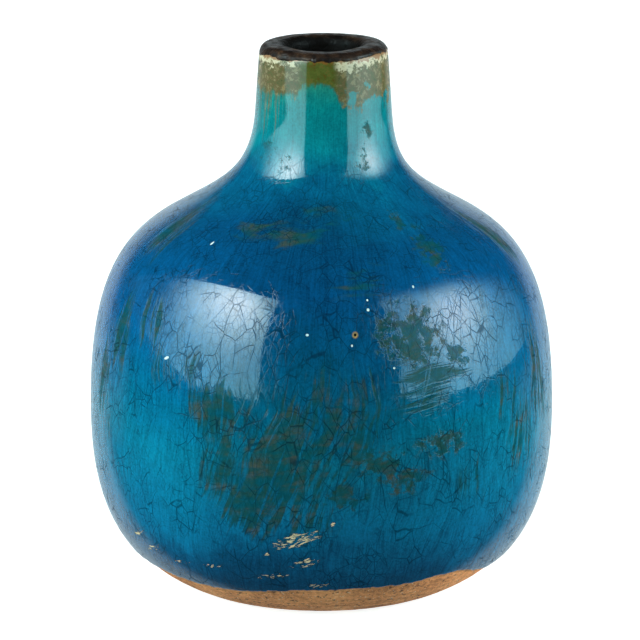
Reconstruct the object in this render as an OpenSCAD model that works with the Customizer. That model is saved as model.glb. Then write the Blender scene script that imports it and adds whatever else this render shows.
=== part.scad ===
// A small pottery bottle for one or two stems: a thrown clay body under three fired glaze coats.
// Millimetres, +Z up, origin at the middle of the ring that it stands on.
//
// One clay surface runs from the foot, up the outside, over the lip and down the inside to the
// middle of the floor. Every coat is a stretch of that surface grown outwards by the coat's
// thickness, so the coats meet the clay and each other face to face.

/* [Body] */
// Height from the table to the top of the glazed lip
height = 120; // [117:1:126]
// Widest diameter over the glaze
belly_d = 104; // [98:1:110]
// Height of the widest ring above the table
belly_z = 37; // [33:1:41]
// Fullness of the belly above its widest ring
belly_rise = 30; // [24:1:34]
// Fullness of the belly below its widest ring
belly_drop = 21; // [16:1:24]
// Thickness of the clay wall
wall = 5.5; // [4:0.25:6.5]

/* [Foot] */
// Diameter of the ring that the vase stands on
foot_d = 67; // [60:1:72]
// Slope of the wall above the table where it leaves the foot, in degrees
foot_slope = 26; // [20:1:34]
// Straightness of the wall where it leaves the foot
foot_reach = 13; // [8:1:16]
// Width of the standing ring
foot_ring = 6.5; // [4:0.5:9]
// Depth of the trimmed hollow under the floor
foot_hollow = 1.5; // [0.5:0.25:2]
// Thickness of the clay floor over that hollow
floor_t = 5.5; // [4:0.25:7]

/* [Shoulder and neck] */
// Diameter over the glaze where the shoulder turns into the neck's hollow curve
shoulder_d = 68; // [62:1:74]
// Height of that turn above the table
shoulder_z = 82; // [79:1:85]
// Slope of the shoulder there, in degrees
shoulder_slope = 29.5; // [25:0.5:34]
// Diameter of the neck over the glaze at the top of its hollow curve
neck_d = 30.3; // [28:0.1:33]
// Height of the top of that curve above the table
neck_z = 104.5; // [102:0.5:105]

/* [Lip and mouth] */
// Diameter of the lip over the glaze
lip_d = 28.4; // [27:0.1:30]
// Radius of the lip's rounded edges over the glaze
lip_round = 2.2; // [1.5:0.1:2.5]
// Diameter of the mouth inside the glaze
mouth_d = 16; // [14:0.5:16.5]
// Height of the throat's lower end over the top of the neck's hollow curve
throat_over = 2.3; // [1:0.1:4]

/* [Glaze] */
// Thickness of every glaze coat
glaze_t = 0.5; // [0.3:0.05:0.8]
// Height above the table where the outer glaze begins
glaze_line = 8; // [5:0.5:12]
// Depth of the lip's dark glaze down the outside, from the top of the lip
lip_band = 2.6; // [2.3:0.1:5]
// Depth of the lip's dark glaze down the throat, from the top of the lip
lip_inside = 7; // [4:0.5:7.5]

/* [Hidden] */
$fn = 180;
STEPS = 24;        // straight steps in each long curve
LIP_STEPS = 8;     // straight steps in each rounded edge of the lip
SEAM = 0.05;       // points nearer than this in height to a stretch's end are dropped

// ---- Points on the clay, under the glaze
clay_top = height - glaze_t;
clay_round = lip_round - glaze_t;
lip_r = lip_d / 2 - glaze_t;
mouth_r = mouth_d / 2 + glaze_t;
foot = [foot_d / 2, 0];
belly = [belly_d / 2 - glaze_t, belly_z];
shoulder = [shoulder_d / 2, shoulder_z] - glaze_t * heading(90 - shoulder_slope);
neck = [neck_d / 2 - glaze_t, neck_z];
lip_edge = [lip_r, clay_top - clay_round];
floor_z = foot_hollow + floor_t;

// ---- How far each long curve keeps to its end's direction before it turns
shoulder_reach = 12;
hollow_reach = 14;
neck_reach = 13.5;
floor_reach = 9;
hollow_flat = 0.6;  // part of the foot's hollow, out from its middle, that stays nearly flat
hollow_edge = 2;    // width over which the hollow comes down to the standing ring

// ---- Curves
function heading(angle) = [cos(angle), sin(angle)];
function unit(v) = v / norm(v);
function bezier(a, b, c, d, n = STEPS) =
    [for (i = [0:n]) let (t = i / n, s = 1 - t) s^3 * a + 3 * s^2 * t * b + 3 * s * t^2 * c + t^3 * d];
function arc(centre, r, from, to, n = LIP_STEPS) =
    [for (i = [0:n]) centre + r * heading(from + (to - from) * i / n)];
function reversed(path) = [for (i = [len(path) - 1:-1:0]) path[i]];
function stretch(path, from, to) = [for (i = [from:to]) path[i]];

// The way out of a path's straight step, to the right of the way that it runs
function way_out(path, i) = let (way = unit(path[i + 1] - path[i])) [way[1], -way[0]];

// A path grown sideways by a distance: every step of it stays parallel to the step that it was
function grown(path, distance) = [
    for (i = [0:len(path) - 1])
        let (a = way_out(path, max(i - 1, 0)), b = way_out(path, min(i, len(path) - 2)))
            path[i] + distance * (a + b) / (1 + a * b)
];

// The point at a height on a path that climbs, and the parts of that path below and above it
function at_height(path, z) = [lookup(z, [for (p = path) [p[1], p[0]]]), z];
function below(path, z) = concat([for (p = path) if (p[1] < z - SEAM) p], [at_height(path, z)]);
function above(path, z) = [for (p = path) if (p[1] > z + SEAM) p];

// ---- The clay surface, in the order that it runs
lower_side = bezier(foot, foot + foot_reach * heading(foot_slope), belly - [0, belly_drop], belly);
upper_side = bezier(
    belly, belly + [0, belly_rise],
    shoulder + shoulder_reach * heading(-shoulder_slope), shoulder
);
neck_way = unit(lip_edge - neck);
neck_side = bezier(
    shoulder, shoulder + hollow_reach * heading(180 - shoulder_slope),
    neck - neck_reach * neck_way, neck
);
climbing = concat(
    lower_side,
    stretch(upper_side, 1, STEPS),
    stretch(neck_side, 1, STEPS),
    arc(lip_edge - [clay_round, 0], clay_round, 0, 90)
);
outside = concat(
    below(climbing, glaze_line),
    below(above(climbing, glaze_line), height - lip_band),
    above(climbing, height - lip_band)
);

// The inside follows the shoulder and the neck at the wall's thickness, and has its own floor
inner_neck = reversed(grown(neck_side, -wall));
inner_shoulder = reversed(grown(upper_side, -wall));
inner_belly = inner_shoulder[STEPS];
throat_top = clay_top - clay_round;
mouth = concat(
    arc([mouth_r + clay_round, throat_top], clay_round, 90, 180),
    [[mouth_r, height - lip_inside], [mouth_r, neck_z + throat_over]]
);
inside = concat(
    inner_neck,
    stretch(inner_shoulder, 1, STEPS),
    stretch(
        bezier(
            inner_belly, inner_belly - [0, belly_drop],
            [foot[0] - wall + floor_reach, floor_z], [foot[0] - wall - floor_reach, floor_z]
        ), 1, STEPS
    ),
    [[0, floor_z]]
);
surface = concat(outside, mouth, inside);
skin = grown(surface, glaze_t);

// ---- Where each coat begins and ends along the surface
coat_start = len(below(climbing, glaze_line)) - 1;
band_start = coat_start + len(below(above(climbing, glaze_line), height - lip_band));
liner_start = len(outside) + LIP_STEPS + 1;
last = len(surface) - 1;

module coat(from, to) {
    rotate_extrude()
        polygon(concat(stretch(surface, from, to), reversed(stretch(skin, from, to))));
}

module clay_body() {
    ring_in = foot[0] - foot_ring;
    hollow = bezier(
        [0, foot_hollow], [ring_in * hollow_flat, foot_hollow],
        [ring_in - hollow_edge, foot_hollow], [ring_in, 0]
    );
    color("#a5744c")
        rotate_extrude()
            polygon(concat(surface, hollow));
}

module outer_glaze() {
    color("#05608c") coat(coat_start, band_start);
}

module lip_glaze() {
    color("#30241f") coat(band_start, liner_start);
}

module liner_glaze() {
    color("#3c4228") coat(liner_start, last);
}

clay_body();
outer_glaze();
lip_glaze();
liner_glaze();
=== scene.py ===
# %% [markdown]
# # A small crackled blue vase
#
# This lesson dresses a measured model of a thrown pottery bottle in its glazes. The model
# comes as a fixed frame: a clay body and three glaze coats, all true rounds. Here they get
# what a kiln and a thumb give: a lip that isn't quite level, a glaze line that wanders, a
# network of fine cracks, and places where the colour was rubbed back to brown.

# %% Load the frame
import math

import bpy
import numpy as np
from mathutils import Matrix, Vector


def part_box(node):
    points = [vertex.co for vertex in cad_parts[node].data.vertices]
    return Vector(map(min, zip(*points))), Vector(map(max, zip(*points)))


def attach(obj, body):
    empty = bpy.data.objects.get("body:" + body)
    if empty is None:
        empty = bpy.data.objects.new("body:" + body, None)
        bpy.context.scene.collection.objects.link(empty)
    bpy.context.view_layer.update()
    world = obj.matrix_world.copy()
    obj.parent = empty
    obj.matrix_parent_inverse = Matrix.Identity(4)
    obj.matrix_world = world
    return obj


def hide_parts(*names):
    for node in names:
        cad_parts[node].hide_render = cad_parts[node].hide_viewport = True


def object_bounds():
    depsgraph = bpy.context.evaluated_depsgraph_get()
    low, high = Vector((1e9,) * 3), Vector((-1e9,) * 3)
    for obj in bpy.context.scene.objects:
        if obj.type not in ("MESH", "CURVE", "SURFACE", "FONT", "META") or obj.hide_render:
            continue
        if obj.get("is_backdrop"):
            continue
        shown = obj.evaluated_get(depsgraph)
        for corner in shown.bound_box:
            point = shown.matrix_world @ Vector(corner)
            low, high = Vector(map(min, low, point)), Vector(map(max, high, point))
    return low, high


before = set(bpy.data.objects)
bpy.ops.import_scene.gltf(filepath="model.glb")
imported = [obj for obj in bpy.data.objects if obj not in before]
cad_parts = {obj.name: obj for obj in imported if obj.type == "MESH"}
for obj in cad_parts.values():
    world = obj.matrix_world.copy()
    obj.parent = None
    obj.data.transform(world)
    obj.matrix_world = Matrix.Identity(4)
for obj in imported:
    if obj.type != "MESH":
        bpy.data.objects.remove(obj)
cad_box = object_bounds()
MM = 0.001
print("nodes in the frame:", ", ".join(sorted(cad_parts)))

# %% [markdown]
# ## The camera
#
# The camera comes first, since every later choice is judged through it. A long lens a good
# way off keeps the pot's sides nearly upright and shows a little of the lip's top. The colours
# go to the screen as they are, because a filmic curve would grey the deep blue. The lights
# come last, when there is glaze for them to shine on.

# %% Camera
CAMERA_AWAY = 700 * MM
CAMERA_UP = 242 * MM
CAMERA_DOWN = 14.81          # degrees below level
CAMERA_ASIDE = -0.33 * MM    # the pot stands a hair right of the frame's middle
LENS = 182.07                # millimetres, on a sensor 36 mm wide


def place_camera():
    """A long lens in front of the pot, looking a little down on it."""
    data = bpy.data.cameras.new("camera")
    data.lens = LENS
    data.sensor_width = 36
    data.clip_start = 10 * MM
    camera = bpy.data.objects.new("camera", data)
    camera.location = (CAMERA_ASIDE, -CAMERA_AWAY, CAMERA_UP)
    camera.rotation_euler = (math.radians(90 - CAMERA_DOWN), 0, 0)
    bpy.context.scene.collection.objects.link(camera)
    bpy.context.scene.camera = camera
    return camera


place_camera()
bpy.context.scene.view_settings.view_transform = "Standard"
print("camera", CAMERA_AWAY / MM, "mm away with a lens of", LENS, "mm")

# %% [markdown]
# ## Short names for nodes
#
# Geometry and materials are both built from nodes. A `Bench` adds nodes to one tree, and a
# `Wire` is one output of a node. Wires take + - * / as numbers do, so that a formula in
# this file reads as a formula and not as a list of Math nodes.

# %% Wires and benches
class Wire:
    """One output of a node. Arithmetic on it adds Math nodes to the same tree."""

    def __init__(self, bench, socket):
        self.bench, self.socket = bench, socket

    def __add__(self, other):
        return self.bench.math("ADD", self, other)

    def __sub__(self, other):
        return self.bench.math("SUBTRACT", self, other)

    def __rsub__(self, other):
        return self.bench.math("SUBTRACT", other, self)

    def __mul__(self, other):
        return self.bench.math("MULTIPLY", self, other)

    def __truediv__(self, other):
        return self.bench.math("DIVIDE", self, other)

    def __rtruediv__(self, other):
        return self.bench.math("DIVIDE", other, self)

    __radd__ = __add__
    __rmul__ = __mul__


class Bench:
    """Adds nodes to one tree. A value given to a node may be a number, a colour or a Wire."""

    def __init__(self, tree):
        self.tree = tree

    def node(self, kind, *values, **settings):
        """A node of a kind, with its properties set and its inputs filled in order."""
        made = self.tree.nodes.new(kind)
        for name, setting in settings.items():
            setattr(made, name, setting)
        for socket, value in zip([s for s in made.inputs if s.enabled], values):
            self.fill(socket, value)
        return made

    def fill(self, socket, value):
        if isinstance(value, Wire):
            self.tree.links.new(value.socket, socket)
        elif value is not None:
            socket.default_value = value

    def out(self, node, name=0):
        """One output of a node, by its name or its place among those in use."""
        if isinstance(name, str):
            return Wire(self, next(s for s in node.outputs if s.enabled and s.name == name))
        return Wire(self, [s for s in node.outputs if s.enabled][name])

    def wire(self, kind, *values, **settings):
        return self.out(self.node(kind, *values, **settings))

    def math(self, operation, *values):
        return self.wire("ShaderNodeMath", *values, operation=operation)

    def split(self, vector):
        parts = self.node("ShaderNodeSeparateXYZ", vector)
        return [self.out(parts, axis) for axis in "XYZ"]

    def join(self, x, y, z):
        return self.wire("ShaderNodeCombineXYZ", x, y, z)

    def ease(self, value, low, high, to_low=0.0, to_high=1.0):
        """A smooth step from one level to another as a value goes from low to high."""
        return self.wire(
            "ShaderNodeMapRange", value, low, high, to_low, to_high, interpolation_type="SMOOTHSTEP"
        )

    def noise(self, place, size, detail=2.0, roughness=0.5):
        """Soft noise from 0 to 1, with features about as large as a size in the place's units."""
        value = self.node("ShaderNodeTexNoise")
        self.fill(value.inputs["Vector"], place)
        value.inputs["Scale"].default_value = 1 / size
        value.inputs["Detail"].default_value = detail
        value.inputs["Roughness"].default_value = roughness
        return self.out(value)

    def moved(self, place, x, y, z):
        return self.wire("ShaderNodeVectorMath", place, (x, y, z), operation="ADD")

    def scaled(self, vector, amount):
        return self.wire("ShaderNodeVectorMath", vector, amount, operation="SCALE")


def named_inputs(tree, sockets):
    """Gives a tree its named inputs and returns name to identifier."""
    found = {}
    for label, (kind, value) in sockets.items():
        socket = tree.interface.new_socket(label, in_out="INPUT", socket_type=kind)
        if value is not None:
            socket.default_value = value
        found[label] = socket.identifier
    return found


print("a bench can", ", ".join(name for name in vars(Bench) if not name.startswith("_")))

# %% [markdown]
# ## The outline
#
# Every piece of this pot lies on one turned surface: from the middle of the underside, over
# the standing ring, up the outside, over the lip and down the inside to the middle of the
# floor. The frame's clay body already holds that surface as rings of points. Reading the
# rings back keeps the dressed pot on its measured shape, where drawing the outline a second
# time could drift from it.

# %% Read the rings
CORNER = 25                  # degrees: a sharper turn than this stays a corner
STEP = 0.25 * MM             # spacing of the smoothed outline's points


def rings_of(node):
    """A turned node's rings as (radius, height), in order from its underside to its inside."""
    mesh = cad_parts[node].data
    places = np.empty(len(mesh.vertices) * 3)
    mesh.vertices.foreach_get("co", places)
    places = places.reshape(-1, 3)
    radius_height = np.column_stack([np.hypot(places[:, 0], places[:, 1]), places[:, 2]])
    rings, ring_of = np.unique(np.round(radius_height / MM, 2), axis=0, return_inverse=True)
    beside = {}
    for face in mesh.polygons:
        touched = {int(ring_of[v]) for v in face.vertices}
        for ring in touched:
            beside.setdefault(ring, set()).update(touched - {ring})
    ends = [ring for ring, others in beside.items() if len(others) == 1]
    at = min(ends, key=lambda ring: rings[ring][1])
    walk = [at]
    while open_rings := beside[at] - set(walk):
        at = min(open_rings, key=lambda ring: np.hypot(*(rings[ring] - rings[at])))
        walk.append(at)
    path = rings[walk] * MM
    return np.vstack([path, [0, path[-1][1]]]) if path[-1][0] > 0 else path


def smoothed(path):
    """The same path with points every STEP, curved between its own points and square at corners."""
    steps = np.diff(path, axis=0)
    lengths = np.hypot(*steps.T)
    ways = steps / lengths[:, None]
    leaving, arriving = ways.copy(), ways.copy()
    for i in range(1, len(ways)):
        if ways[i - 1] @ ways[i] > math.cos(math.radians(CORNER)):
            way = ways[i - 1] * lengths[i] + ways[i] * lengths[i - 1]
            leaving[i] = arriving[i - 1] = way / np.hypot(*way)
    points = []
    for i, length in enumerate(lengths):
        count = max(1, round(length / STEP))
        t = (np.arange(count) / count)[:, None]
        points.append(
            (2 * t**3 - 3 * t**2 + 1) * path[i]
            + (t**3 - 2 * t**2 + t) * leaving[i] * length
            + (3 * t**2 - 2 * t**3) * path[i + 1]
            + (t**3 - t**2) * arriving[i] * length
        )
    return np.vstack(points + [path[-1:]])


outline = smoothed(rings_of("clay_body"))
along = np.concatenate([[0], np.cumsum(np.hypot(*np.diff(outline, axis=0).T))])
top_point = int(outline[:, 1].argmax())
foot_point = int(np.where(outline[:top_point, 1] < 0.01 * MM)[0].max())
print("outline points:", len(outline), "of total length", round(along[-1] / MM, 1), "mm")


# %% [markdown]
# ## Heights on the outline
#
# The glaze line and the lip band are known by their heights, but the pieces are turned from
# distances along the outline, since a height is met twice: once outside and once inside. Two
# small functions turn the one into the other. The coats' own edges are read from the frame.

# %% Find a height on it
def along_outside(height):
    """How far along the outline, in metres, the outside passes a height in metres."""
    side = slice(foot_point, top_point + 1)
    return float(np.interp(height, outline[side, 1], along[side]))


def along_inside(height):
    """The same for the inside, below the lip."""
    side = slice(len(outline) - 1, top_point, -1)
    return float(np.interp(height, outline[side, 1], along[side]))


FOOT = along[foot_point]
GLAZE_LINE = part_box("outer_glaze")[0].z
LIP_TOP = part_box("lip_glaze")[1].z
LINER_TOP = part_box("liner_glaze")[1].z
GLAZE = LIP_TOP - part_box("clay_body")[1].z
print("glaze", round(GLAZE / MM, 2), "mm thick, from", round(GLAZE_LINE / MM, 1), "mm up")

# %% [markdown]
# ## A glaze line that wanders
#
# The pot was held by its foot and dipped, and the wet glaze then ran, so that its lower line
# rises and falls by a few millimetres. Its large swings are this pot's own and are drawn as
# a curve over the azimuth. Noise adds only the small raggedness.

# %% The wandering line
LINE_HEIGHTS = {             # azimuth from the front in degrees: glaze line height in mm
    -180: 8.2, -150: 8.9, -120: 7.6, -60: 7.4, -36: 6.7, -18: 7.6, 0: 9.0, 22: 9.1,
    38: 9.8, 58: 6.9, 78: 7.7, 100: 8.0, 140: 8.6, 180: 8.2,
}
LINE_LOW, LINE_HIGH = 5, 11  # mm: the span that the wandering line's curve is drawn in
HALF_TURN = 180


def wandering(bench, azimuth):
    """Height in mm of the glaze line at an azimuth in degrees, from a drawn curve."""
    curve = bench.node("ShaderNodeFloatCurve", 1.0, azimuth / (2 * HALF_TURN) + 0.5)
    points = curve.mapping.curves[0].points
    while len(points) < len(LINE_HEIGHTS):
        points.new(0.5, 0.5)
    for point, (turn, height) in zip(points, LINE_HEIGHTS.items()):
        share = (height - LINE_LOW) / (LINE_HIGH - LINE_LOW)
        point.location = ((turn + HALF_TURN) / (2 * HALF_TURN), share)
    curve.mapping.update()
    return bench.out(curve) * (LINE_HIGH - LINE_LOW) + LINE_LOW


print("the glaze line passes", len(LINE_HEIGHTS), "heights on its way round")

# %% [markdown]
# ## One tree turns every piece
#
# A thrown pot is a line spun round an axis, and so is each coat of glaze on it. One Geometry
# Nodes tree does the spinning for all four pieces. It is given rows: how far along the
# outline each row lies and how far it stands off the clay. The tree lets the glaze line
# wander, lets the glaze pool in soft waves, tilts the neck a little and waves the lip, by the
# same rule for clay and glaze, so that the coats never part from the wall below them. Each
# movement goes inward or down from the measured shape, never out of it.

# %% The turning tree
LIP_BAND = 118.1 * MM        # where the thin brown glaze of the lip begins
BAND_SWING = 3.8 * MM        # between the highest and the lowest place of the lip band's edge


def turning_tree():
    """The tree that spins rows round the axis, and the identifiers of its inputs."""
    tree = bpy.data.node_groups.new("turned coat", "GeometryNodeTree")
    inputs = named_inputs(tree, {
        "Rows": ("NodeSocketGeometry", None),
        "Outline": ("NodeSocketObject", None),
        "Columns": ("NodeSocketInt", 360),
        "Lean": ("NodeSocketFloat", 0.45 * MM),
        "Out of round": ("NodeSocketFloat", 0.003),
        "Line slope": ("NodeSocketFloat", 1.0),
        "Pooling": ("NodeSocketFloat", 0.03 * MM),
        "Grit": ("NodeSocketFloat", 0.16 * MM),
        "Lip wave": ("NodeSocketFloat", 0.8 * MM),
        "Seed": ("NodeSocketFloat", 4.0),
        "Material": ("NodeSocketMaterial", None),
    })
    tree.interface.new_socket("Piece", in_out="OUTPUT", socket_type="NodeSocketGeometry")
    bench = Bench(tree)
    given = bench.node("NodeGroupInput")
    value = {name: bench.out(given, name) for name in inputs}

    # a flat grid: columns run round the pot, rows run along the outline
    sizes = bench.node("GeometryNodeAttributeDomainSize", value["Rows"], component="MESH")
    row_count = bench.out(sizes, "Point Count")
    grid = bench.wire("GeometryNodeMeshGrid", 1.0, 1.0, value["Columns"] + 1, row_count)
    across, up, _ = bench.split(bench.wire("GeometryNodeInputPosition"))
    azimuth = across * (2 * HALF_TURN)
    row = bench.math("ROUND", (up + 0.5) * (row_count - 1))

    def of_row(name):
        held = bench.wire("GeometryNodeInputNamedAttribute", name, data_type="FLOAT")
        return bench.wire("GeometryNodeSampleIndex", value["Rows"], held, row, data_type="FLOAT")

    turn = bench.math("RADIANS", azimuth)
    sine, cosine = bench.math("SINE", turn), bench.math("COSINE", turn)
    ring = bench.join(sine, cosine, value["Seed"])

    # where the row crosses the outline, once the glaze line and the lip band have wandered
    ragged = (bench.noise(ring, 0.06, 3) - 0.5) * 1.2 + (bench.noise(ring, 0.015, 2) - 0.5) * 0.5
    line_rise = (wandering(bench, azimuth) + ragged - GLAZE_LINE / MM) * MM * value["Line slope"]
    band_rise = (bench.noise(ring, 0.32, 3) - 0.5) * BAND_SWING
    reach = of_row("along") + of_row("line_swing") * line_rise + of_row("band_swing") * band_rise
    outline_curve = bench.wire(
        "GeometryNodeMeshToCurve",
        bench.out(bench.node("GeometryNodeObjectInfo", value["Outline"]), "Geometry"),
    )
    sample = bench.node("GeometryNodeSampleCurve", mode="LENGTH")
    bench.fill(next(s for s in sample.inputs if s.enabled and s.type == "GEOMETRY"), outline_curve)
    bench.fill(next(s for s in sample.inputs if s.enabled and s.name == "Length"), reach)
    radius, _, height = bench.split(bench.out(sample, "Position"))
    way_out, _, way_up = bench.split(bench.out(sample, "Tangent"))

    # the glaze pools in soft waves over faint throwing rings, and bare clay is gritty
    place = bench.join(radius * sine, radius * cosine, height)
    rings = bench.noise(bench.join(value["Seed"], 0.0, height), 5 * MM, 1)
    waves = bench.noise(place, 16 * MM, 2) * 0.6 + bench.noise(place, 4 * MM, 1) * 0.15
    pooled = waves + rings * 0.5
    grains = bench.noise(place, 1.1 * MM, 3, 0.7) * 0.6 + bench.noise(place, 5 * MM, 2) * 0.6
    lift = (
        of_row("lift")
        - of_row("pooling") * value["Pooling"] * pooled
        - of_row("grit") * value["Grit"] * grains
    )
    radius = radius + way_up * lift
    height = height - way_out * lift

    # hands leave the round a little oval, the neck a little aside and the lip a little wavy
    oval = bench.math("COSINE", turn * 2 + value["Seed"]) * 0.5 + 0.5
    radius = radius * (1 - value["Out of round"] * oval)
    near_lip = bench.ease(height, 108 * MM, 119.5 * MM)
    front_dip = bench.ease(bench.math("ABSOLUTE", azimuth), 0.0, 55.0, 0.45, 0.0)
    wave = bench.noise(ring, 0.9, 2) * 0.9 + front_dip - 0.15
    height = height - near_lip * value["Lip wave"] * bench.math("MAXIMUM", wave, 0.0)
    aside = value["Lean"] * bench.ease(height, 84 * MM, 106 * MM)
    spun = bench.join(radius * sine + aside, radius * cosine * -1, height)
    moved = bench.wire("GeometryNodeSetPosition", grid, None, spun)

    # distances that the glazes are coloured by
    kept = {
        "above_line": (of_row("along") - along_outside(GLAZE_LINE)) / MM,
        "above_band": (of_row("along") - along_outside(LIP_BAND)) / MM,
    }
    for name, amount in kept.items():
        moved = bench.wire(
            "GeometryNodeStoreNamedAttribute", moved, None, name, amount,
            data_type="FLOAT", domain="POINT",
        )
    closed = bench.wire("GeometryNodeMergeByDistance", moved, None, 0.001 * MM)
    lone = bench.out(bench.node("GeometryNodeInputMeshEdgeNeighbors"), "Face Count")
    closed = bench.wire(
        "GeometryNodeDeleteGeometry", closed,
        bench.wire("FunctionNodeCompare", lone, 0, data_type="INT", operation="EQUAL"),
        domain="EDGE", mode="EDGE_FACE",
    )
    shaded = bench.wire("GeometryNodeSetShadeSmooth", closed, None, True)
    real = bench.wire("GeometryNodeRealizeInstances", shaded)
    coloured = bench.wire("GeometryNodeSetMaterial", real, None, value["Material"])
    bench.node("NodeGroupOutput", coloured)
    return tree, inputs


line_slope = (along_outside(GLAZE_LINE + MM) - along_outside(GLAZE_LINE)) / MM
turning, turning_inputs = turning_tree()
print("turning tree:", len(turning.nodes), "nodes, inputs", ", ".join(turning_inputs))

# %% [markdown]
# ## The section of a coat
#
# A coat of glaze is a thin closed skin. Its rows start under its own lower edge, swell over a
# rounded bead where the glaze stopped running, follow the wall to the far edge, and come back
# just inside the clay, so that no light passes between the two.

# %% Section of a coat
SUNK = 0.12 * MM             # how far a coat's hidden face lies inside the clay
BEAD = 0.8 * MM              # length of the rounded edge
PROUD = 0.05 * MM            # how far the lip's coat lies over the blue one
LINE_FADE = 20 * MM          # above the glaze line, rows stop following it over this length
BAND_FADE = 5 * MM


def rounded_edge(at, toward, thickness, start=-SUNK, steps=6):
    """Rows that rise over a quarter round from a coat's hidden face to its own thickness."""
    turns = np.linspace(0, math.pi / 2, steps + 1)
    reach = at + toward * BEAD * (1 - np.cos(turns))
    lift = start + (thickness - start) * np.sin(turns)
    return list(zip(reach, lift))


def spaced(start, end, step):
    """Distances from start to end, both left out, about one step apart."""
    count = max(2, round(abs(end - start) / step))
    return np.linspace(start, end, count + 1)[1:-1]


def fading(reach, start, fade):
    """1 at a start and before it, easing to 0 one fade away from it."""
    share = np.clip(1 - np.abs(reach - start) / fade, 0, 1)
    return share * share * (3 - 2 * share)


def coat_rows(start, end, step, start_thickness, end_thickness):
    """A coat's closed section: over the first edge, along the wall, down the other, and back."""
    first = rounded_edge(start, 1, start_thickness)
    last = rounded_edge(end, -1, end_thickness)[::-1]
    wall = spaced(first[-1][0], last[0][0], step)
    settle = np.exp(-(wall - start) / (2.5 * MM))
    lifts = GLAZE + (start_thickness - GLAZE) * settle
    hidden = [(reach, -SUNK) for reach in spaced(end, start, 6 * MM)]
    return first + list(zip(wall, lifts)) + last + hidden + first[:1]


print("a coat's rounded edge has", len(rounded_edge(0, 1, GLAZE)), "rows")

# %% [markdown]
# ## Rows of each piece
#
# Where one coat ends upon another, the upper one lies a hair prouder. The liner hides its
# upper edge under the lip's coat and needs no bead there. The clay's rows are close together
# only where the clay is bare; under glaze nobody sees them.

# %% Rows
blue_rows = coat_rows(
    along_outside(GLAZE_LINE), along_outside(118.9 * MM), 0.78 * MM, GLAZE * 1.12, GLAZE * 0.8
)
lip_rows = coat_rows(
    along_outside(LIP_BAND), along_inside(LINER_TOP), 0.22 * MM, GLAZE + PROUD, GLAZE
)
liner_rows = [
    (along_inside(LINER_TOP + 0.8 * MM), -SUNK),
    (along_inside(LINER_TOP + 0.7 * MM), GLAZE * 0.8),
]
liner_rows += [(reach, GLAZE) for reach in spaced(along_inside(LINER_TOP), along[-1], 1.6 * MM)]
liner_rows += [(along[-1], GLAZE), (along[-1], -SUNK)]
liner_rows += [(reach, -SUNK) for reach in spaced(along[-1], liner_rows[0][0], 8 * MM)]
liner_rows += liner_rows[:1]

bare_end = along_outside(13 * MM)
clay_rows = [(reach, 0.0) for reach in np.concatenate([
    [0.0],
    spaced(0.0, FOOT - 12 * MM, 0.8 * MM),
    spaced(FOOT - 12 * MM, bare_end, 0.3 * MM),
    spaced(bare_end, along[-1], 2.0 * MM),
    [along[-1]],
])]
for name, rows in {"blue": blue_rows, "lip": lip_rows, "liner": liner_rows, "clay": clay_rows}.items():
    print(name, len(rows), "rows")

# %% [markdown]
# ## Spin the pieces
#
# Each piece's rows become a small line of points that carry their numbers as attributes. The
# tree reads them, and the finished surface is then kept as a plain mesh at the origin.

# %% Pieces
def row_line(name, rows, **shares):
    """A mesh of one point per row, carrying what the tree asks of each row."""
    mesh = bpy.data.meshes.new(name + "_rows")
    reach, lift = np.array(rows).T
    mesh.from_pydata([(0, 0, 0)] * len(rows), [], [])
    for label, amounts in {"along": reach, "lift": lift, **shares}.items():
        held = mesh.attributes.new(label, "FLOAT", "POINT")
        held.data.foreach_set("value", np.ascontiguousarray(amounts, dtype=np.float32))
    return mesh


def outline_object():
    """The outline as a chain of edges, for the tree to sample."""
    mesh = bpy.data.meshes.new("outline")
    places = [(radius, 0, height) for radius, height in outline]
    mesh.from_pydata(places, [(i, i + 1) for i in range(len(places) - 1)], [])
    made = bpy.data.objects.new("outline", mesh)
    bpy.context.scene.collection.objects.link(made)
    return made


def spin(name, node, slot, rows, columns, material, **shares):
    """Turns rows into a finished piece that stands for a node of the frame."""
    nothing = np.zeros(len(rows))
    wanted = {key: nothing for key in ("line_swing", "band_swing", "pooling", "grit")}
    line = bpy.data.objects.new(name + "_rows", row_line(name, rows, **{**wanted, **shares}))
    bpy.context.scene.collection.objects.link(line)
    modifier = line.modifiers.new("turned coat", "NODES")
    modifier.node_group = turning
    settings = {
        "Outline": outline_line, "Columns": columns, "Material": material, "Line slope": line_slope,
    }
    for label, amount in settings.items():
        modifier[turning_inputs[label]] = amount
    depsgraph = bpy.context.evaluated_depsgraph_get()
    mesh = bpy.data.meshes.new_from_object(
        line.evaluated_get(depsgraph), preserve_all_data_layers=True, depsgraph=depsgraph
    )
    line.modifiers.remove(modifier)
    bpy.data.objects.remove(line)
    piece = bpy.data.objects.new(name, mesh)
    bpy.context.scene.collection.objects.link(piece)
    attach(piece, "root")
    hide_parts(node)
    print(name, "has", len(mesh.polygons), "faces")
    return piece


outline_line = outline_object()
print("outline line has", len(outline_line.data.vertices), "points")

# %% [markdown]
# ## What the glazes share
#
# Shader trees need a few things that the turning tree doesn't: colours, mixes, ramps and
# groups. A `Palette` is a bench that knows them. Four small node groups then carry what more
# than one glaze uses. The first says where on the pot a point is. The second draws crackle,
# the third measures how far a point lies from the middle of a leaning oval, and the fourth
# lays brushy strokes, as a cloth or a brush leaves them.

# %% Shader benches
BELLY = 50                   # mm: the radius at which degrees round the pot become mm


def colour(text):
    """A colour such as "1b6f8a", as a painter would pick it on screen, for a shader socket."""
    parts = [int(text[i:i + 2], 16) / 255 for i in (0, 2, 4)]
    linear = [p / 12.92 if p <= 0.04045 else ((p + 0.055) / 1.055) ** 2.4 for p in parts]
    return (*linear, 1.0)


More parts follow.
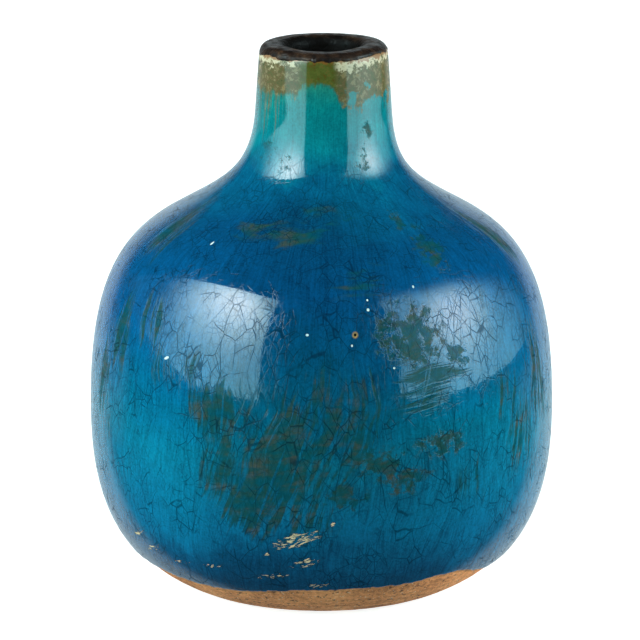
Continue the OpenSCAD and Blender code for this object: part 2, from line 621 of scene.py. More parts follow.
class Palette(Bench):
    """A bench for shader trees, which also knows colours and groups."""

    def use(self, group, *values):
        made = self.node("ShaderNodeGroup", *values, node_tree=group)
        outs = [Wire(self, socket) for socket in made.outputs]
        return outs[0] if len(outs) == 1 else outs

    def blend(self, share, low, high):
        return self.wire("ShaderNodeMix", share, low, high, data_type="RGBA")

    def ramp(self, value, stops):
        """A colour that changes with a value, from {place: colour} with places from 0 to 1."""
        made = self.node("ShaderNodeValToRGB", value)
        elements = made.color_ramp.elements
        while len(elements) < len(stops):
            elements.new(0.5)
        for element, place in zip(elements, sorted(stops)):
            element.position, element.color = place, stops[place]
        return self.out(made)

    def top(self, values):
        """The highest of several values."""
        best = values[0]
        for value in values[1:]:
            best = self.math("MAXIMUM", best, value)
        return best


def shader_group(name, inputs, outputs, build):
    """A group whose nodes are laid by build(bench, *inputs), which returns the outputs."""
    tree = bpy.data.node_groups.new(name, "ShaderNodeTree")
    for label, value in inputs.items():
        kind = "NodeSocketVector" if isinstance(value, tuple) else "NodeSocketFloat"
        tree.interface.new_socket(label, in_out="INPUT", socket_type=kind).default_value = value
    for label, kind in outputs.items():
        tree.interface.new_socket(label, in_out="OUTPUT", socket_type="NodeSocket" + kind)
    bench = Palette(tree)
    given = bench.node("NodeGroupInput")
    made = build(bench, *[bench.out(given, label) for label in inputs])
    bench.node("NodeGroupOutput", *made)
    return tree


print("degrees become mm at a radius of", BELLY, "mm")

# %% [markdown]
# ## The four groups
#
# Cracks are the walls between the cells of a foam whose points were first pushed about by
# noise, because straight-sided cells look like tiles. Strokes are noise drawn out along one
# direction. Both give a plain number, and each glaze decides what to do with it.

# %% Shared groups
def lay_place(bench):
    """Object coordinates in mm, as a place and as mm round the belly and mm of height."""
    metres = bench.out(bench.node("ShaderNodeTexCoord"), "Object")
    x, y, z = bench.split(metres)
    turn = bench.math("ARCTAN2", x, y * -1)
    place = bench.wire("ShaderNodeVectorMath", metres, (1 / MM,) * 3, operation="MULTIPLY")
    return place, turn * BELLY, z / MM


def lay_crackle(bench, place, cell, width, warp):
    """1 on a crack and 0 off it. The cracks are the walls between cells of a warped foam."""
    push = bench.node("ShaderNodeTexNoise", place, 0.12, 2.0)
    away = bench.wire(
        "ShaderNodeVectorMath", bench.out(push, "Color"), (0.5,) * 3, operation="SUBTRACT"
    )
    at = bench.wire("ShaderNodeVectorMath", place, bench.scaled(away, warp), operation="ADD")
    foam = bench.node("ShaderNodeTexVoronoi", bench.scaled(at, 1 / cell), feature="DISTANCE_TO_EDGE")
    foam.inputs["Scale"].default_value = 1.0
    walls = bench.out(foam, "Distance")
    return [bench.ease(walls * cell, width * 0.3, width, 1.0, 0.0)]


def lay_oval(bench, around, height, at_around, at_height, half_width, half_height, lean):
    """0 in the middle of an oval and 1 on its edge. It leans right at its top, in degrees."""
    lean = bench.math("RADIANS", lean)
    sine, cosine = bench.math("SINE", lean), bench.math("COSINE", lean)
    right, up = around - at_around, height - at_height
    across = (right * cosine - up * sine) / half_width
    along_it = (right * sine + up * cosine) / half_height
    return [bench.math("SQRT", across * across + along_it * along_it)]


def lay_strokes(bench, around, height, lean, length, width):
    """Brushy noise from 0 to 1, drawn out along a direction that leans right at its top."""
    flat = bench.join(around, height, 0.0)
    bend = (bench.noise(flat, 22, 2) - 0.5) * 9
    lean = bench.math("RADIANS", lean)
    sine, cosine = bench.math("SINE", lean), bench.math("COSINE", lean)
    across = (around * cosine - height * sine + bend) / width
    along_it = (around * sine + height * cosine) / length
    fine = bench.noise(bench.join(across, along_it, 3.0), 1.0, 3, 0.65)
    broad = bench.noise(bench.join(across * 0.3, along_it * 0.6, 7.0), 1.0, 1)
    return [fine * 0.6 + broad * 0.4]


where = shader_group("place on the pot", {}, {
    "Place": "Vector", "Around": "Float", "Height": "Float",
}, lay_place)
crackle = shader_group("crackle", {
    "Place": (0.0, 0.0, 0.0), "Cell": 6.0, "Width": 0.2, "Warp": 3.0,
}, {"Crack": "Float"}, lay_crackle)
oval = shader_group("leaning oval", {
    "Around": 0.0, "Height": 0.0, "At around": 0.0, "At height": 0.0,
    "Half width": 1.0, "Half height": 1.0, "Lean": 0.0,
}, {"Distance": "Float"}, lay_oval)
strokes = shader_group("strokes", {
    "Around": 0.0, "Height": 0.0, "Lean": 0.0, "Length": 9.0, "Width": 1.2,
}, {"Amount": "Float"}, lay_strokes)
print("shader groups:", ", ".join(tree.name for tree in (where, crackle, oval, strokes)))

# %% [markdown]
# ## A coated material
#
# Glaze is coloured glass over clay. The colour belongs to the base of the shader and the
# shine to its coat, so that a rubbed place can lose the one and keep the other. The base
# itself hardly mirrors anything, or the deep blue would look milky.

# %% Glossy materials
COAT_IOR = 1.5


def glossy(name, coat_roughness=0.015, specular=0.0):
    """A material with a glassy coat over its colour, its bench and its shader node."""
    material = bpy.data.materials.new(name)
    material.use_nodes = True
    material.node_tree.nodes.clear()
    bench = Palette(material.node_tree)
    shader = bench.node("ShaderNodeBsdfPrincipled")
    shader.inputs["Coat Roughness"].default_value = coat_roughness
    shader.inputs["Coat IOR"].default_value = COAT_IOR
    shader.inputs["Specular IOR Level"].default_value = specular
    bench.node("ShaderNodeOutputMaterial", bench.out(shader))
    return material, bench, shader


def wire_up(bench, shader, height, depth, **inputs):
    """Links a shader's inputs, and a relief from a height between 0 and 1 and a depth in m."""
    for label, value in inputs.items():
        bench.fill(shader.inputs[label.replace("_", " ")], value)
    bump = bench.node("ShaderNodeBump")
    bump.inputs["Strength"].default_value = 1.0
    bump.inputs["Distance"].default_value = depth
    bench.fill(bump.inputs["Height"], height)
    normal = bench.out(bump)
    bench.fill(shader.inputs["Normal"], normal)
    bench.fill(shader.inputs["Coat Normal"], normal)


print("materials get a coat with an index of refraction of", COAT_IOR)

# %% [markdown]
# ## Sound glaze
#
# A copper glaze turns green where it is thin and blue where it is thick. It runs down while
# it melts, so that the neck comes out teal, the shoulder deep blue and the belly turquoise.
# The colour could be painted on an unwrapped map, but a map has a seam somewhere. Height and
# noise in the pot's own space have none, and they colour the back as well as the front.

# %% Sound glaze
GLAZE_BY_HEIGHT = {          # mm of height: colour of sound glaze
    6: "023d5b", 14: "02405e", 24: "02506c", 42: "02576c", 56: "024968", 70: "023d63", 84: "023858",
    93: "02435c", 100: "045c65", 108: "046060", 113: "196255", 118: "2b5737",
}
TALL = 120                   # mm


def sound_glaze(bench, place, around, height, cloud, mist, run, comb):
    """Glaze that nothing happened to: clouded, and faintly combed where it ran."""
    shades = {step / TALL: colour(text) for step, text in GLAZE_BY_HEIGHT.items()}
    shade = bench.ramp((height + cloud * 26 + mist * 6) / TALL, shades)
    grain = bench.noise(place, 0.5, 2, 0.6) - 0.5
    light = 1 + cloud * 0.6 + mist * 0.8 + (run - 0.5) * 0.9 + comb * 1.5 + grain * 0.9
    # painted shade: away from the neck and the lower half, the front is painted darker and the sides a
    # little lighter, as light from the sides falls on them
    front_painted_shade = bench.ease(bench.math("ABSOLUTE", around + 1), 10.0, 34.0, 0.76, 1.05)
    neck = bench.ease(height, 80.0, 92.0)
    lower_half = bench.ease(height, 24.0, 50.0, 1.0, 0.0)
    return bench.scaled(shade, light * bench.top([front_painted_shade, neck, lower_half]))


print("sound glaze:", len(GLAZE_BY_HEIGHT), "colours by height")

# %% [markdown]
# ## Rubbed places
#
# The finished pot was rubbed by hand. There the glaze lost its shine and shows dark green
# and brown, in strokes that run the way the cloth went, with bright hairs where it skipped.
# Noise alone would rub the pot evenly all over. Here each place is a leaning oval from a
# table, and the strokes break it up, so that the rubbing is where a hand would have done it.

# %% Rubbing
# azimuth in degrees, height in mm, half width and half height in mm, lean in degrees, strength
RUBBED = {
    "leaning": [
        (-8, 39, 16, 15, 14, 1.0), (-15, 29, 9, 8, 14, 1.0), (4, 45, 10, 9, 10, 0.8),
        (-22, 38, 8, 10, 6, 0.8), (-6, 28, 8, 5, 14, 0.8),
        (150, 36, 13, 12, -16, 0.9), (118, 60, 9, 11, 20, 0.7),
    ],
    "upright": [
        (-26, 50, 7, 7.5, 4, 0.95), (-49, 65, 5.5, 6, 0, 0.66), (-61, 60, 4.5, 9, 0, 0.75),
        (-67, 47, 4, 12, -4, 0.8), (58, 40, 7, 9, 3, 0.72), (52, 49, 6, 7, 0, 0.66),
        (66, 48, 6, 13, 0, 0.8), (-66, 81, 7, 6, 14, 0.8), (76, 79, 6, 7, -12, 0.8),
        (8, 52, 12, 12, 4, 0.62), (-38, 58, 9, 8, 4, 0.55), (40, 33, 7, 7, 0, 0.5),
        (-110, 45, 8, 15, 0, 0.9), (100, 33, 8, 13, 0, 0.8), (-150, 70, 9, 7, 6, 0.9),
    ],
    "level": [
        (-13, 84, 15, 2.6, 90, 0.8), (5, 87, 12, 2.4, 90, 0.78), (-30, 84, 8, 2.0, 90, 0.72),
        (27, 55, 9, 7, 90, 0.8), (12, 76, 10, 3, 90, 0.55), (-152, 44, 13, 8, 90, 0.8),
    ],
    "mottled": [
        (23, 65, 8, 7, 0, 1.0), (35, 60, 4, 3, 0, 0.85), (13, 39, 7, 4, 0, 0.9),
        (29, 42, 6, 4, 0, 0.85), (20, 35, 6, 4, 0, 0.75), (5.5, 32, 5, 3.5, 0, 0.85),
        (39, 80, 5, 4.5, 0, 0.85), (35, 85, 3, 2.5, 0, 0.8), (-46, 98, 8, 3, 0, 0.66),
        (-28, 96, 6, 2.5, 0, 0.64), (32, 97, 7, 3.5, 0, 0.66), (39, 103, 6, 2.5, 0, 0.55),
        (140, 80, 9, 6, 0, 0.9), (-125, 88, 8, 5, 0, 0.8), (160, 62, 5, 5, 0, 0.8),
    ],
}
STROKE_LEANS = {"leaning": 22, "upright": 2, "level": 88}
# fine strokes that the rubbing spared: they stay bright turquoise
SPARED = [
    (-1, 37, 0.45, 15, 24, 1), (-12, 34, 0.35, 11, 20, 1), (-5, 41, 0.3, 10, 17, 1),
    (-19, 41, 0.3, 9, 3, 1), (3, 39, 0.3, 9, 30, 1), (-24, 48, 0.3, 6, 2, 1),
]


def nearness(bench, around, height, places):
    """For ovals such as those above: their strength in the middle, falling to 0 at the edge."""
    near = []
    for azimuth, up, half_width, half_height, lean, strength in places:
        centre = math.radians(azimuth) * BELLY
        # an oval that lies level is written with its width first, so only its strokes turn
        turn = 0.0 if lean > 80 and half_width > 2 else float(lean)
        away = bench.use(oval, around, height, centre, up, half_width, half_height, turn)
        near.append(bench.ease(away, 0.1, 1.6, float(strength), 0.0))
    return bench.top(near)


def rubbing(bench, place, around, height):
    """How far the glaze is rubbed, from 0 to 1, and the colour that shows where it is."""
    worn = []
    for kind, places in RUBBED.items():
        if kind == "mottled":
            brush = bench.noise(place, 2.2, 5, 0.7)
        else:
            brush = bench.use(strokes, around, height, float(STROKE_LEANS[kind]), 15.0, 0.9)
        near = nearness(bench, around, height, places)
        worn.append(bench.ease(near * 1.05 + bench.ease(brush, 0.33, 0.67) * 0.9, 0.88, 1.32))
    spared = bench.ease(nearness(bench, around, height, SPARED), 0.35, 0.7)
    hairs = bench.use(strokes, around, height, 20.0, 24.0, 0.5)
    spared = bench.math("MAXIMUM", spared, bench.ease(hairs, 0.57, 0.68) * 0.6)
    level = bench.use(strokes, around, height, 86.0, 7.0, 1.3)
    bared = bench.ramp(level * 0.6 + bench.noise(place, 4, 4, 0.65) * 0.4, {
        0.32: colour("043846"), 0.44: colour("083a3e"), 0.51: colour("183832"),
        0.58: colour("30372d"), 0.68: colour("463c31"),
    })
    return bench.top(worn) * (1 - spared * 0.8), bared


print("rubbed places:", sum(len(places) for places in RUBBED.values()))

# %% [markdown]
# ## Cracks
#
# As the pot cools, the glaze shrinks more than the clay and opens in a net, and finer nets
# open inside it later. Three sizes of crackle are laid over each other, fainter as they get
# finer. They fade out on the neck, where the glaze is thin. A few long scratches cross them.

# %% Cracks
SCRATCHES = [(38.0, 58.0, 92.0), (-42.0, 54.0, 84.0), (4.0, 18.0, 60.0)]  # lean, lowest, highest


def crack_net(bench, place, around, height):
    """1 on a bold crack or a scratch, less on a faint one, and 0 between them."""
    # cells come out a little taller than wide, as on thrown walls
    tall = bench.wire("ShaderNodeVectorMath", place, (1.0, 1.0, 0.5), operation="MULTIPLY")
    bold = bench.use(crackle, tall, 3.5, 0.10, 2.6)
    faint = bench.use(crackle, bench.moved(tall, 31.0, 7.0, 3.0), 2.1, 0.09, 1.2)
    faint_here = bench.ease(bench.noise(place, 14, 2), 0.40, 0.62)
    tiny = bench.use(crackle, bench.moved(tall, 3.0, 17.0, 9.0), 1.15, 0.07, 0.8)
    cracks = bench.top([bold * 0.78, faint * (0.25 + faint_here * 0.6), tiny * 0.35])
    cracks = cracks * bench.ease(bench.noise(place, 6, 3), 0.38, 0.55, 0.2, 1.0)
    cracks = cracks * bench.ease(height, 88.0, 100.0, 1.0, 0.15)
    for lean, low, high in SCRATCHES:
        thin_line = bench.use(strokes, around, height, lean, 17.0, 0.3)
        band = bench.ease(height, low - 6.0, low + 4.0)
        band = band * bench.ease(height, high - 4.0, high + 6.0, 1.0, 0.0)
        cracks = bench.math("MAXIMUM", cracks, bench.ease(thin_line, 0.60, 0.68) * band * 0.6)
    return cracks


print("cracks: three nets and", len(SCRATCHES), "fields of scratches")

# %% [markdown]
# ## The thin top and the thick end
#
# Under the lip the glaze ran off and is thinnest. The iron of the clay comes through as
# olive and ochre there, with a pale fringe and a rusty line against the lip. At the foot the
# run glaze piled up in a band that is nearly black. Both edges are ragged. A straight band
# with noise added to its height gives just that, and costs nothing in the shape.

# %% Thin top and thick end
def thin_top(bench, place, around, height, run, shade):
    """The colour with the top of the coat laid over it, and how thin the glaze is."""
    side = bench.ease(bench.math("ABSOLUTE", around + 3), 11.0, 17.0)
    right = bench.ease(around, 6.0, 26.0)
    patchy = bench.noise(place, 3.4, 5, 0.66) - 0.5
    lumps = bench.noise(bench.moved(place, 2.0, 9.0, 7.0), 2.6, 3) - 0.5
    low_edge = 112.6 - side * 2.4 - right * 1.0 + patchy * 7 + lumps * (4 + right * 16)
    thin = bench.ease(height - low_edge + (run - 0.5) * 5, -1.2, 1.0)
    drips = bench.ease(run + (height - 100) * 0.012, 0.60, 0.68)
    drips = drips * bench.ease(around, -26.0, -40.0)
    thin = bench.math("MAXIMUM", thin, drips * bench.ease(height, 97.0, 101.0) * 0.8)
    mottle = bench.noise(bench.moved(place, 9.0, 2.0, 5.0), 1.4, 5, 0.75)
    olive = bench.ramp(mottle, {
        0.30: colour("3a2410"), 0.40: colour("4c3a14"), 0.48: colour("3e4218"),
        0.58: colour("4a4a1e"), 0.68: colour("5a401c"),
    })
    stony = bench.ramp(mottle, {
        0.30: colour("2a2f1c"), 0.42: colour("4a4a2e"), 0.52: colour("54432b"),
        0.60: colour("6c6448"), 0.70: colour("72502c"),
    })
    shade = bench.blend(thin, shade, bench.blend(side, olive, stony))
    torn = bench.noise(bench.moved(place, 7.0, 5.0, 3.0), 1.5, 4, 0.7) - 0.5
    fringe = bench.ease(height + torn * 9 + lumps * 4, 116.2, 117.2) * side
    shade = bench.blend(fringe * 0.75, shade, colour("b8a78a"))
    rust = bench.ease(height + torn * 4, 117.4, 117.9)
    return bench.blend(rust * 0.8, shade, colour("6a3c1a")), thin


def thick_end(bench, edge, shade):
    """The colour with the dark band laid over it, from mm above the glaze line."""
    shade = bench.blend(bench.ease(edge, 1.6, 4.4, 0.95, 0.0), shade, colour("171c42"))
    return bench.blend(bench.ease(edge, 0.1, 0.6, 0.9, 0.0), shade, colour("261a18"))


print("glaze edges ready")

# %% [markdown]
# ## Flakes, flecks and a pinhole
#
# Low on the belly the glaze let go of the clay in fields of small level flakes, and pale slip
# shows. Here and there a bubble broke and left a white fleck, and one left a hole with a
# brown halo. Flakes could be cut out of the mesh, but they are thinner than a hair, so that
# colour and a little relief are enough.

# %% Flakes and flecks
# azimuth in degrees, height in mm, half width and half height in mm, lean in degrees, strength
# fields of small flakes where glaze broke away and pale slip shows
CHIPPED = [
    (-6, 22, 7.0, 2.2, -18, 1.0), (2.7, 26, 0.7, 1.0, 20, 1.0), (-13, 18.5, 3, 0.8, -18, 0.7),
    (-4, 16.5, 6, 1.8, -14, 0.75), (-13, 12.6, 6, 0.9, -10, 0.85), (-1, 10.4, 6, 0.8, -6, 0.9),
    (-55, 16.3, 4, 1.0, -24, 0.9), (-50, 13.8, 5, 0.9, -22, 0.9), (-40, 12.2, 5, 1.0, -16, 0.8),
    (-30, 13.2, 5, 0.8, -12, 0.75), (148, 18, 6, 1.8, -16, 1.0), (-96, 15, 5, 1.2, -18, 0.9),
]
# white flecks, where a bubble broke in the glaze
FLECKS = [
    (26.5, 74.4, 0.3, 0.3, 0, 1), (12.4, 72.7, 0.25, 0.25, 0, 1), (12.3, 70.9, 0.4, 0.35, 0, 1),
    (-3.6, 66.3, 0.4, 0.3, 0, 1), (-41, 58.6, 0.8, 0.35, -30, 1), (7.5, 64.1, 0.25, 0.3, 0, 1),
    (17.7, 59.1, 0.3, 0.25, 0, 1), (-41, 81, 0.5, 0.3, -30, 1), (128, 52, 0.35, 0.3, 0, 1),
]
PINHOLE = (8.4, 66.2, 0.34, 0.34, 0, 1)
PINHOLE_HALO = (8.4, 66.2, 0.8, 0.8, 0, 1)


def breaks(bench, around, height, shade):
    """The colour with every break laid over it, and masks of the flakes, halo and hole."""
    flakes = bench.use(strokes, around, height, 74.0, 1.5, 0.24)
    near = nearness(bench, around, height, CHIPPED)
    flaking = near * 0.6 + bench.ease(flakes, 0.36, 0.64) * 0.5
    chipped = bench.ease(flaking, 0.80, 0.86)
    shade = bench.blend(bench.ease(flaking, 0.68, 0.80) * 0.75, shade, colour("1c2420"))
    shade = bench.blend(chipped, shade, colour("c2a882"))
    flecked = bench.ease(nearness(bench, around, height, FLECKS), 0.4, 0.7)
    shade = bench.blend(flecked * 0.9, shade, colour("b9c2bb"))
    hole = nearness(bench, around, height, [PINHOLE])
    halo = bench.ease(nearness(bench, around, height, [PINHOLE_HALO]), 0.3, 0.8)
    shade = bench.blend(halo * 0.8, shade, colour("8a6a3c"))
    # painted shade: the pinhole is painted near black, for the shade inside it
    shade = bench.blend(bench.ease(hole, 0.3, 0.7), shade, colour("050505"))
    return shade, chipped, halo, hole


print("fields of flakes:", len(CHIPPED), "and flecks:", len(FLECKS))

# %% [markdown]
# ## The blue glaze put together
#
# The parts are laid over each other in the order in which they came about: the glaze ran,
# was rubbed, cracked, and broke. Whatever harms the glaze also takes away its glassy coat,
# and that is what makes the rubbed places look dull beside the shine.

# %% The blue glaze
CRACK_INK = colour("041620")


def blue_glaze():
    material, bench, shader = glossy("blue_glaze")
    place, around, height = bench.use(where)
    above_line = bench.out(bench.node("ShaderNodeAttribute", attribute_name="above_line"), "Fac")
    cloud = bench.noise(place, 26, 3) - 0.5
    mist = bench.noise(place, 3.5, 4, 0.6) - 0.5
    run = bench.use(strokes, around, height, 3.0, 26.0, 0.55)
    comb = bench.use(strokes, around, height, 5.0, 6.0, 0.2) - 0.5

    shade = sound_glaze(bench, place, around, height, cloud, mist, run, comb)
    worn, bared = rubbing(bench, place, around, height)
    uneven = bench.ease(bench.noise(place, 1.6, 4, 0.7), 0.3, 0.6, 0.6, 0.95)
    shade = bench.blend(worn * uneven, shade, bared)
    cracks = crack_net(bench, place, around, height)
    shade = bench.blend(cracks * 0.8, shade, CRACK_INK)
    shade, thin = thin_top(bench, place, around, height, run, shade)
    shade = thick_end(bench, above_line + (mist + cloud) * 2.0, shade)
    shade, chipped, halo, hole = breaks(bench, around, height, shade)

    dull = bench.top([worn * 0.8, cracks * 0.9, chipped, thin * 0.45, halo])
    relief = 0.6 - worn * 0.25 - cracks * 0.12 - chipped * 0.5 - hole + mist * 0.04 + comb * 0.02
    wire_up(
        bench, shader, relief, 0.12 * MM,
        Base_Color=shade, Coat_Weight=1 - dull, Roughness=0.35 + dull * 0.3,
    )
    return material


finishes = {"blue": blue_glaze()}
print("blue glaze:", len(finishes["blue"].node_tree.nodes), "nodes")

# %% [markdown]
# ## The brown lip
#
# Glaze runs off an edge while it melts, so the lip is thin and takes the iron brown of the
# clay. It is pitted and only half glossy, and its lower edge breaks up over the blue.

# %% The brown lip
def lip_glaze():
    material, bench, shader = glossy("lip_glaze", coat_roughness=0.14, specular=0.05)
    place, around, height = bench.use(where)
    above_band = bench.out(bench.node("ShaderNodeAttribute", attribute_name="above_band"), "Fac")
    patchy = bench.noise(place, 2.2, 5, 0.68)
    shade = bench.ramp(patchy, {
        0.30: colour("0c0706"), 0.46: colour("1a0f0b"), 0.58: colour("2b1b13"),
        0.70: colour("4a3222"),
    })
    pits = bench.use(crackle, place, 1.6, 0.2, 1.2)
    # painted shade: inside the mouth, nearer the axis than about 8.4 mm, the lip is painted near black
    flat = bench.wire("ShaderNodeVectorMath", place, (1.0, 1.0, 0.0), operation="MULTIPLY")
    radius = bench.wire("ShaderNodeVectorMath", flat, operation="LENGTH")
    outside = bench.ease(radius, 8.4, 10.4)
    shade = bench.blend(outside, colour("080504"), shade)
    broken = bench.ease(above_band + (patchy - 0.5) * 2.4, 0.1, 0.8, 1.0, 0.0)
    shade = bench.blend(broken * 0.8, shade, colour("6a5a3a"))
    dull = bench.ease(bench.noise(bench.moved(place, 3.0, 3.0, 3.0), 1.8, 3), 0.42, 0.6) * 0.7
    wire_up(
        bench, shader, patchy * 0.8 - pits * 0.15, 0.25 * MM,
        Base_Color=shade, Coat_Weight=(0.3 - dull * 0.3) * outside, Roughness=0.4 + dull * 0.3,
    )
    return material


finishes["lip"] = lip_glaze()
print("lip glaze:", len(finishes["lip"].node_tree.nodes), "nodes")

# %% [markdown]
# ## The liner
#
# The inside was filled with glaze and emptied again. What little of it the mouth shows is in
# deep shade and brown with iron near the top, so that it needs no more than cracks.

# %% The liner
def liner_glaze():
    material, bench, shader = glossy("liner_glaze", coat_roughness=0.3)
    place, around, height = bench.use(where)
    cracks = bench.use(crackle, place, 5.0, 0.2, 3.0)
    shade = bench.ramp(height / TALL + (bench.noise(place, 6, 4) - 0.5) * 0.2, {
        0.0: colour("0a3340"), 0.6: colour("0c3b46"), 0.84: colour("120d08"), 1.0: colour("0a0604"),
    })
    shade = bench.blend(cracks * 0.7, shade, colour("0c0a08"))
    wire_up(
        bench, shader, 0.5 - cracks * 0.4, 0.1 * MM,
        Base_Color=shade, Coat_Weight=0.15 - cracks * 0.1, Roughness=0.5 + cracks * 0.2,
    )
    return material


finishes["liner"] = liner_glaze()
print("liner glaze:", len(finishes["liner"].node_tree.nodes), "nodes")

# %% [markdown]
# ## The clay
#
# The foot was wiped clean before firing: sandy clay with dark specks and pale grains, and
# faint lines from the wheel. The relief that is too fine for the mesh is in the bump.

# %% The clay
def fired_clay():
    material, bench, shader = glossy("fired_clay", coat_roughness=0.4, specular=0.2)
    place, around, height = bench.use(where)
    soft = bench.noise(place, 9, 3)
    sandy = bench.noise(place, 0.9, 3, 0.7)
    wheel = bench.noise(bench.join(around * 0.02, height * 2.2, 2.0), 1.0, 3)
    shade = bench.ramp(soft * 0.35 + sandy * 0.45 + wheel * 0.2, {
        0.34: colour("915736"), 0.46: colour("c97f50"), 0.56: colour("e99961"),
        0.68: colour("ffbe89"),
    })
    specks = bench.ease(bench.noise(bench.moved(place, 5.0, 1.0, 2.0), 0.95, 2, 0.6), 0.60, 0.66)
    grains = bench.ease(bench.noise(bench.moved(place, 1.0, 6.0, 4.0), 0.6, 1), 0.68, 0.73)
    shade = bench.blend(specks * 0.8, shade, colour("3c2a1e"))
    shade = bench.blend(grains * 0.7, shade, colour("e2cdb0"))
    wire_up(
        bench, shader, sandy * 0.6 + wheel * 0.3 - specks * 0.5 + grains * 0.4, 0.3 * MM,
        Base_Color=shade, Coat_Weight=specks * 0.1, Roughness=0.75 + sandy * 0.2,
    )
    return material


finishes["clay"] = fired_clay()
print("fired clay:", len(finishes["clay"].node_tree.nodes), "nodes")

# %% [markdown]
# ## Turn them all
#
# The rows near a coat's edge are told how far to follow the wandering line, and the shares
# fade out up the wall so that nothing else moves with it.

# %% Turn the pieces
def edge_share(rows, fade):
    return fading(np.array(rows)[:, 0], rows[0][0], fade)


def open_share(rows):
    """1 on a coat's open face and 0 on its hidden one."""
    return np.clip(np.array(rows)[:, 1] / GLAZE, 0, 1)


bare_share = 1 - np.clip((np.array(clay_rows)[:, 0] - along_outside(10 * MM)) / (3 * MM), 0, 1)
spin(
    "blue_coat", "outer_glaze", "blue_glaze", blue_rows, 456, finishes["blue"],
    line_swing=edge_share(blue_rows, LINE_FADE), pooling=open_share(blue_rows),
)
spin(
    "lip_coat", "lip_glaze", "lip_glaze", lip_rows, 456, finishes["lip"],
    band_swing=edge_share(lip_rows, BAND_FADE), pooling=open_share(lip_rows) * 0.4,
)
spin("liner_coat", "liner_glaze", "liner_glaze", liner_rows, 240, finishes["liner"])
spin("clay_wall", "clay_body", "clay", clay_rows, 320, finishes["clay"], grit=bare_share)
bpy.data.objects.remove(outline_line)

# %% [markdown]
# ## Two soft boxes
#
# A glossy pot shows its room, so the room is part of the finish. Each soft box is an upright
# glowing sheet that starts beside the camera and runs far past the pot, brightest near the
# lamp behind it. Its inner edge gives the straight reflections on the neck, and its lower
# edge the long curves on the belly. Between the two sheets the room is dark, and that keeps
# the middle of the belly deep blue.

# %% Soft boxes
BOX_AWAY = 1.2               # metres from the pot to the middle of each soft box
COOL_WHITE = (0.87, 1.0, 1.0, 1.0)     # near the lamp
LIT_SHEET = (0.50, 0.94, 1.0, 1.0)     # the rest of the sheet
FAR_SHARE = 0.04             # how brightly a sheet still glows at its outer end
SLANT = 0.75                 # metres that a sheet's top edge drops for every metre outward


def soft_box(name, azimuth, corners, lamp, reach, hot, glow, fade, slant):
    """An upright glowing sheet that faces the pot. Places on it are (outward, height) in metres.

    It glows hot near its lamp. The rest glows evenly, but fades between two distances outward
    and above a slanting line, which is given by its height in the middle of the sheet.
    """
    outward = 1 if azimuth > 0 else -1
    mesh = bpy.data.meshes.new(name)
    mesh.from_pydata([(x * outward, y, 0) for x, y in corners], [], [tuple(range(len(corners)))])
    sheet = bpy.data.objects.new(name, mesh)
    turn = math.radians(azimuth)
    sheet.location = (math.sin(turn) * BOX_AWAY, -math.cos(turn) * BOX_AWAY, 0)
    sheet.rotation_euler = (math.radians(90), 0, turn)
    sheet.visible_camera = False
    material = bpy.data.materials.new(name)
    material.use_nodes = True
    material.node_tree.nodes.clear()
    bench = Palette(material.node_tree)
    x, y, _ = bench.split(bench.out(bench.node("ShaderNodeTexCoord"), "Object"))
    x = x * outward
    across, up = x - lamp[0], y - lamp[1]
    far = bench.math("SQRT", across * across + up * up)
    heat = bench.ease(far, 0.0, reach, 1.0, 0.0)
    even = bench.ease(x, fade[0], fade[1], float(glow), glow * FAR_SHARE)
    even = even * bench.ease(y + x * SLANT, slant - 0.5, slant, 1.0, 0.1)
    light = bench.blend(heat, LIT_SHEET, COOL_WHITE)
    bench.node("ShaderNodeOutputMaterial", bench.wire("ShaderNodeEmission", light, even + heat * hot))
    mesh.materials.append(material)
    bpy.context.scene.collection.objects.link(sheet)
    sheet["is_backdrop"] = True
    return sheet


soft_box(
    "left_box", -80, [(-1.43, -0.03), (-0.5, -0.02), (1.4, 0.36), (1.4, 0.5), (-1.43, 2.4)],
    lamp=(-0.55, 1.25), reach=1.25, hot=13.0, glow=4.2, fade=(-0.3, 0.65), slant=2.0,
)
soft_box(
    "right_box", 88, [(-1.33, -0.05), (1.25, -0.05), (1.25, 0.4), (-1.33, 2.3)],
    lamp=(-0.25, 0.6), reach=0.75, hot=7.5, glow=3.7, fade=(-0.3, 1.15), slant=1.3,
)
print("soft boxes stand", BOX_AWAY, "m from the pot")

# %% [markdown]
# ## Light from the sides
#
# The belly's sides are brighter than the two sheets make them. A lamp on each side mends
# that. The glaze doesn't mirror these lamps, because no such bright spot is to be seen in it.

# %% Side lamps
def side_fill(name, azimuth, elevation, size, radiance):
    """A square lamp a size wide that shines on the pot's side, with angles in degrees."""
    data = bpy.data.lights.new(name, "AREA")
    data.size = size
    data.energy = radiance * (math.pi * size) ** 2
    light = bpy.data.objects.new(name, data)
    turn, rise = math.radians(azimuth), math.radians(elevation)
    way = Vector((math.sin(turn) * math.cos(rise), -math.cos(turn) * math.cos(rise), math.sin(rise)))
    light.location = way * BOX_AWAY + Vector((0, 0, 50 * MM))
    light.rotation_euler = way.to_track_quat("Z", "Y").to_euler()
    light.visible_camera = False
    light.visible_glossy = False
    bpy.context.scene.collection.objects.link(light)
    return light


side_fill("left_fill", -98, 6, 0.6, 3.0)
side_fill("right_fill", 102, 6, 0.6, 6.6)
print("side lamps:", len(bpy.data.lights))

# %% [markdown]
# ## The room and the floor
#
# The world stands in for the rest of the room. It is white to the camera, and shines on the
# pot only from behind, which gives the pale rims at both sides, and softly from below. The
# paper under the pot takes no part in this, so that one place decides how the room glows.

# %% Room and floor
PALE_SKY = (0.78, 0.95, 1.0, 1.0)
FLOOR_REACH = 2.0            # metres from the pot to each edge of the paper


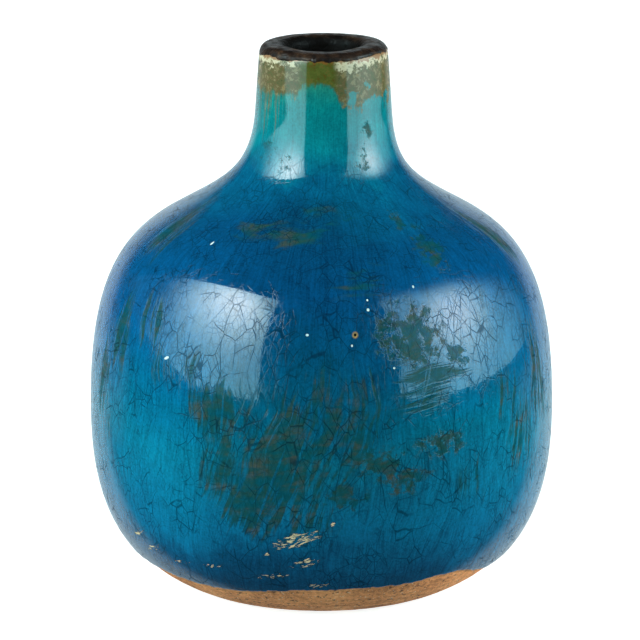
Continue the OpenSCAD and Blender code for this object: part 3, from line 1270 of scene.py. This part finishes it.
def white_room():
    """A world that the camera sees as white, and that shines only from behind and below."""
    world = bpy.data.worlds.new("white room")
    world.use_nodes = True
    bpy.context.scene.world = world
    world.node_tree.nodes.clear()
    bench = Palette(world.node_tree)
    right, back, up = bench.split(bench.out(bench.node("ShaderNodeTexCoord"), "Generated"))
    behind = bench.ease(back - up * 0.5, 0.66, 0.88, 0.015, 0.85)
    # a low band at both sides, which starts higher on the left
    horizon = bench.ease(right, -0.1, 0.1, -0.02, -0.13)
    level = bench.ease(up, -0.36, -0.22) * bench.ease(up - horizon, -0.05, 0.0, 1.0, 0.0)
    behind = bench.math("MAXIMUM", behind, bench.ease(back, 0.28, 0.5) * level * 0.32)
    # the floor lights the pot, but the glaze hardly mirrors it
    rays = bench.node("ShaderNodeLightPath")
    mirrored = 1 - bench.out(rays, "Is Glossy Ray") * 0.85
    below = bench.ease(up, -0.35, -0.1, 0.55, 0.0) * mirrored
    seen = bench.out(rays, "Is Camera Ray")
    light = bench.blend(seen, PALE_SKY, (1.0, 1.0, 1.0, 1.0))
    strength = bench.top([behind, below, seen])
    bench.node("ShaderNodeOutputWorld", bench.wire("ShaderNodeBackground", light, strength))
    return world


def floor():
    """Pale paper. The pot's rays pass it by, so the world decides how much the floor glows."""
    half = FLOOR_REACH
    mesh = bpy.data.meshes.new("floor")
    corners = [(-half, -half, 0), (half, -half, 0), (half, half, 0), (-half, half, 0)]
    mesh.from_pydata(corners, [], [(0, 1, 2, 3)])
    made = bpy.data.objects.new("floor", mesh)
    material = bpy.data.materials.new("paper")
    material.use_nodes = True
    shader = material.node_tree.nodes["Principled BSDF"]
    shader.inputs["Base Color"].default_value = (0.5, 0.5, 0.5, 1)
    shader.inputs["Emission Color"].default_value = (1, 1, 1, 1)
    shader.inputs["Emission Strength"].default_value = 0.75
    shader.inputs["Roughness"].default_value = 0.9
    shader.inputs["Specular IOR Level"].default_value = 0.0
    mesh.materials.append(material)
    bpy.context.scene.collection.objects.link(made)
    made.visible_glossy = False
    made.visible_diffuse = False
    made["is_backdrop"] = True
    return made


white_room()
floor()
print("paper", 2 * FLOOR_REACH, "m wide")

# %% [markdown]
# ## Finish
#
# The dressed pot's box is printed beside the measured one's. The dressed pot must fill
# the same box as the measured one.

# %% Print the boxes
def box_lines(box):
    """A box's corners as plain lists of metres."""
    return [[round(value, 6) for value in corner] for corner in box]


sizes = {"cad": box_lines(cad_box), "dressed": box_lines(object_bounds())}
for name, box in sizes.items():
    print(name, "box in metres:", box)
